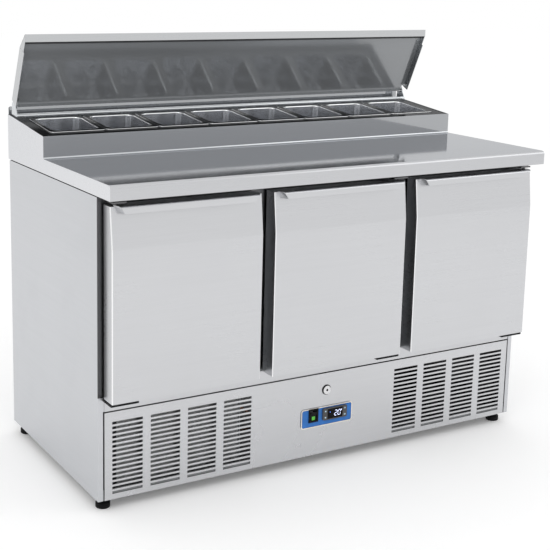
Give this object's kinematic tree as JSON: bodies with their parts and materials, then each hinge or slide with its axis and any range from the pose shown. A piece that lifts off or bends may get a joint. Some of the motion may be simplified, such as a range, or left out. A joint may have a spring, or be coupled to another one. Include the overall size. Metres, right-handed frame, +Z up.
{
  "type": "sandwich prep table",
  "caption": "Refrigerated stainless prep counter: hinged doors under an overhanging worktop, a raised row of lift-out pans at the back, and a hinged lid that leans open over them.",
  "frame": {"origin": "on the floor, under the middle of the worktop's footprint", "axes": "+X to the right as seen from the doors, +Y from the doors to the back, +Z up"},
  "size_m": [1.365, 0.7, 1.1682],
  "materials": {
    "brushed_steel": "fine brushed stainless sheet",
    "polished_steel": "smooth stainless sheet with clear reflections",
    "dark_steel": "stainless sheet that reflects the dark of the pan well",
    "galvanised_steel": "galvanised sheet",
    "aluminium_fins": "plain aluminium",
    "chrome": "bright plating",
    "black_plastic": "black moulded plastic",
    "grey_plastic": "grey moulded plastic",
    "gasket_rubber": "grey magnetic seal",
    "blue_plastic": "blue label plate",
    "green_lens": "lit green rocker",
    "black_glass": "black display window",
    "black_paint": "black paint",
    "copper": "bare copper pipe"
  },
  "bodies": {
    "cabinet": {"left_side_panel": "brushed_steel", "right_side_panel": "brushed_steel", "cold_room_liner": "brushed_steel", "front_frame": "brushed_steel", "front_grille": "brushed_steel", "worktop": "polished_steel", "lid_hinge_rail": "polished_steel", "pan_deck": "dark_steel", "left_mullion": "dark_steel", "right_mullion": "dark_steel", "base_tray": "galvanised_steel", "back_panel": "galvanised_steel", "fan_frame": "galvanised_steel", "condenser": "aluminium_fins", "evaporator": "aluminium_fins", "left_shelf": "chrome", "middle_shelf": "chrome", "right_shelf": "chrome", "lock_body": "chrome", "front_left_foot": "black_plastic", "front_right_foot": "black_plastic", "rear_left_foot": "black_plastic", "rear_right_foot": "black_plastic", "switch_frame": "black_plastic", "thermostat_housing": "grey_plastic", "control_fascia": "blue_plastic", "thermostat_lens": "black_glass", "left_lower_hinge": "black_paint", "middle_lower_hinge": "black_paint", "right_lower_hinge": "black_paint", "compressor": "black_paint", "fan_motor": "black_paint", "discharge_pipe": "copper"},
    "lid": {"lid_skin": "brushed_steel", "lid_inner_panel": "dark_steel"},
    "left_door": {"left_door_panel": "brushed_steel", "left_door_handle": "brushed_steel", "left_door_gasket": "gasket_rubber"},
    "middle_door": {"middle_door_panel": "brushed_steel", "middle_door_handle": "brushed_steel", "middle_door_gasket": "gasket_rubber"},
    "right_door": {"right_door_panel": "brushed_steel", "right_door_handle": "brushed_steel", "right_door_gasket": "gasket_rubber"},
    "power_rocker": {"power_rocker": "green_lens"},
    "left_lower_button": {"left_lower_button": "grey_plastic"},
    "left_upper_button": {"left_upper_button": "grey_plastic"},
    "right_lower_button": {"right_lower_button": "grey_plastic"},
    "right_upper_button": {"right_upper_button": "grey_plastic"},
    "lock_barrel": {"lock_barrel": "chrome"},
    "fan_blade": {"fan_blade": "aluminium_fins"},
    "pan_1": {"pan_1": "polished_steel"},
    "pan_2": {"pan_2": "polished_steel"},
    "pan_3": {"pan_3": "polished_steel"},
    "pan_4": {"pan_4": "polished_steel"},
    "pan_5": {"pan_5": "polished_steel"},
    "pan_6": {"pan_6": "polished_steel"},
    "pan_7": {"pan_7": "polished_steel"},
    "pan_8": {"pan_8": "polished_steel"}
  },
  "joints": [
    {"name": "lid_hinge", "type": "hinge", "parent": "cabinet", "child": "lid", "pos_m": [0, 0.321, 0.96517], "axis": [-1, 0, 0], "range_deg": [-71, 20]},
    {"name": "left_door_hinge", "type": "hinge", "parent": "cabinet", "child": "left_door", "pos_m": [-0.64825, -0.305, 0.5475], "axis": [0, 0, -1], "range_deg": [0, 90]},
    {"name": "middle_door_hinge", "type": "hinge", "parent": "cabinet", "child": "middle_door", "pos_m": [0.19175, -0.305, 0.5475], "axis": [0, 0, 1], "range_deg": [0, 90]},
    {"name": "right_door_hinge", "type": "hinge", "parent": "cabinet", "child": "right_door", "pos_m": [0.64825, -0.305, 0.5475], "axis": [0, 0, 1], "range_deg": [0, 90]},
    {"name": "rocker_pivot", "type": "hinge", "parent": "cabinet", "child": "power_rocker", "pos_m": [-0.0385, -0.265, 0.1465], "axis": [-1, 0, 0], "range_deg": [0, 20]},
    {"name": "left_lower_button_press", "type": "slide", "parent": "cabinet", "child": "left_lower_button", "axis": [0, 1, 0], "range_m": [0, 0.001], "stiffness_N_per_m": 400},
    {"name": "left_upper_button_press", "type": "slide", "parent": "cabinet", "child": "left_upper_button", "axis": [0, 1, 0], "range_m": [0, 0.001], "stiffness_N_per_m": 400},
    {"name": "right_lower_button_press", "type": "slide", "parent": "cabinet", "child": "right_lower_button", "axis": [0, 1, 0], "range_m": [0, 0.001], "stiffness_N_per_m": 400},
    {"name": "right_upper_button_press", "type": "slide", "parent": "cabinet", "child": "right_upper_button", "axis": [0, 1, 0], "range_m": [0, 0.001], "stiffness_N_per_m": 400},
    {"name": "lock_turn", "type": "hinge", "parent": "cabinet", "child": "lock_barrel", "pos_m": [0.004, -0.269, 0.214], "axis": [0, 1, 0], "range_deg": [0, 90]},
    {"name": "fan_spin", "type": "hinge", "parent": "cabinet", "child": "fan_blade", "pos_m": [-0.44, -0.202, 0.1348], "axis": [0, 1, 0], "continuous": true},
    {"name": "pan_1_lift", "type": "slide", "parent": "cabinet", "child": "pan_1", "axis": [0, -0.1028, 0.9947], "range_m": [0, 0.085]},
    {"name": "pan_2_lift", "type": "slide", "parent": "cabinet", "child": "pan_2", "axis": [0, -0.1028, 0.9947], "range_m": [0, 0.085]},
    {"name": "pan_3_lift", "type": "slide", "parent": "cabinet", "child": "pan_3", "axis": [0, -0.1028, 0.9947], "range_m": [0, 0.085]},
    {"name": "pan_4_lift", "type": "slide", "parent": "cabinet", "child": "pan_4", "axis": [0, -0.1028, 0.9947], "range_m": [0, 0.085]},
    {"name": "pan_5_lift", "type": "slide", "parent": "cabinet", "child": "pan_5", "axis": [0, -0.1028, 0.9947], "range_m": [0, 0.085]},
    {"name": "pan_6_lift", "type": "slide", "parent": "cabinet", "child": "pan_6", "axis": [0, -0.1028, 0.9947], "range_m": [0, 0.085]},
    {"name": "pan_7_lift", "type": "slide", "parent": "cabinet", "child": "pan_7", "axis": [0, -0.1028, 0.9947], "range_m": [0, 0.085]},
    {"name": "pan_8_lift", "type": "slide", "parent": "cabinet", "child": "pan_8", "axis": [0, -0.1028, 0.9947], "range_m": [0, 0.085]}
  ]
}
